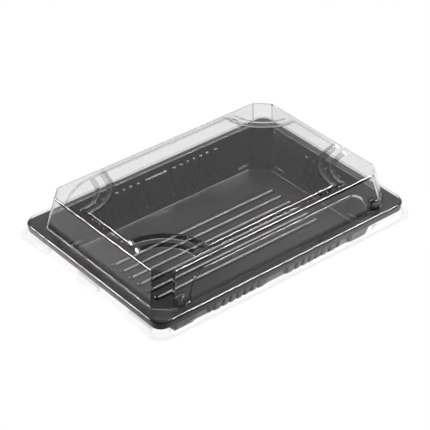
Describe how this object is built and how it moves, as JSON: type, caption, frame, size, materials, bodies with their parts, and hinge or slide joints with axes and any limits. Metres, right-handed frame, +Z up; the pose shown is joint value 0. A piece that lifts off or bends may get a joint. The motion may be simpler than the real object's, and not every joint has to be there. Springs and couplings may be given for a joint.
{
  "type": "takeaway sushi tray",
  "caption": "Closed rectangular takeaway sushi pack: glossy black ribbed tray under a clear domed lid with cut corners and a raised top panel.",
  "frame": {"origin": "centre of the pack's footprint, on the plane the tray's base stands on", "axes": "+X along the long side, +Y along the short side, +Z up through the lid"},
  "size_m": [0.1914, 0.1342, 0.0463],
  "materials": {
    "tray_plastic": "gloss black",
    "lid_plastic": "clear gloss"
  },
  "bodies": {
    "root": {"tray": "tray_plastic", "lid": "lid_plastic"}
  },
  "joints": []
}
